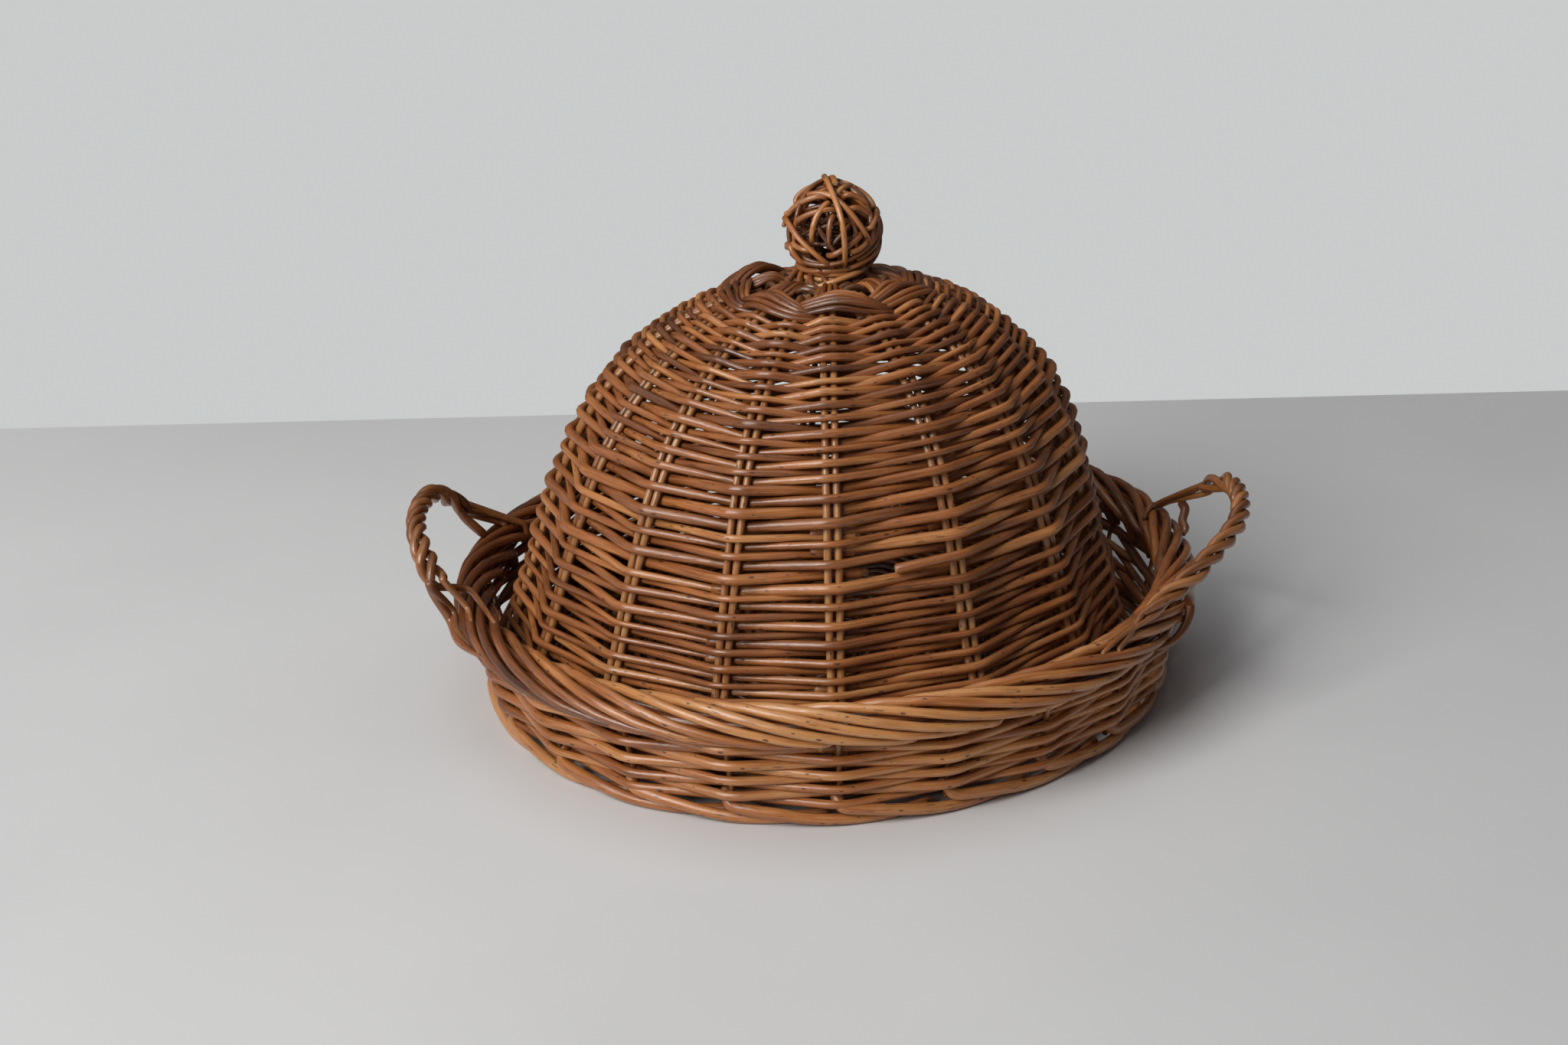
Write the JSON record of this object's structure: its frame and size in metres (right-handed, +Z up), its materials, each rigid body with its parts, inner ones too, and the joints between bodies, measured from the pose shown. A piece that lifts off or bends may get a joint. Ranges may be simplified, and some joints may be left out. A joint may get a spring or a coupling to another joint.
{
  "type": "wicker cloche basket",
  "caption": "Round willow tray with a rolled rim and rod handles, under a loose woven willow dome with an openwork ball knob that lifts off",
  "frame": {"origin": "middle of the foot border, on the table", "axes": "+Z up, +X towards the right handle, -Y towards the viewer"},
  "size_m": [0.4527, 0.3986, 0.2726],
  "materials": {
    "willow_rod": "satin",
    "willow_weaver": "satin"
  },
  "bodies": {
    "tray": {"foot_border": "willow_weaver", "base_sticks": "willow_rod", "base_weave": "willow_weaver", "side_stake_01": "willow_rod", "side_stake_02": "willow_rod", "side_stake_03": "willow_rod", "side_stake_04": "willow_rod", "side_stake_05": "willow_rod", "side_stake_06": "willow_rod", "side_stake_07": "willow_rod", "side_stake_08": "willow_rod", "side_stake_09": "willow_rod", "side_stake_10": "willow_rod", "side_stake_11": "willow_rod", "side_stake_12": "willow_rod", "side_stake_13": "willow_rod", "side_stake_14": "willow_rod", "side_stake_15": "willow_rod", "side_stake_16": "willow_rod", "side_stake_17": "willow_rod", "side_stake_18": "willow_rod", "side_stake_19": "willow_rod", "side_stake_20": "willow_rod", "side_stake_21": "willow_rod", "side_stake_22": "willow_rod", "side_weaver_a": "willow_weaver", "side_weaver_b": "willow_weaver", "rim_border": "willow_weaver", "right_lashing_one": "willow_weaver", "right_lashing_two": "willow_weaver", "right_handle": "willow_rod", "left_lashing_one": "willow_weaver", "left_lashing_two": "willow_weaver", "left_handle": "willow_rod"},
    "cloche": {"cloche_base_border": "willow_weaver", "cloche_rib_01": "willow_rod", "cloche_rib_02": "willow_rod", "cloche_rib_03": "willow_rod", "cloche_rib_04": "willow_rod", "cloche_rib_05": "willow_rod", "cloche_rib_06": "willow_rod", "cloche_rib_07": "willow_rod", "cloche_rib_08": "willow_rod", "cloche_rib_09": "willow_rod", "cloche_rib_10": "willow_rod", "cloche_rib_11": "willow_rod", "cloche_rib_12": "willow_rod", "cloche_rib_13": "willow_rod", "cloche_rib_14": "willow_rod", "cloche_rib_15": "willow_rod", "cloche_rib_16": "willow_rod", "cloche_weaver_a1": "willow_weaver", "cloche_weaver_a2": "willow_weaver", "cloche_weaver_b1": "willow_weaver", "cloche_weaver_b2": "willow_weaver", "crown_band_1": "willow_weaver", "crown_band_2": "willow_weaver", "crown_hub": "willow_rod", "neck_wrap": "willow_weaver", "knob_ball": "willow_weaver"}
  },
  "joints": [
    {"name": "cloche_lift", "type": "slide", "parent": "tray", "child": "cloche", "axis": [0, 0, 1], "range_m": [0, 0.15]}
  ]
}
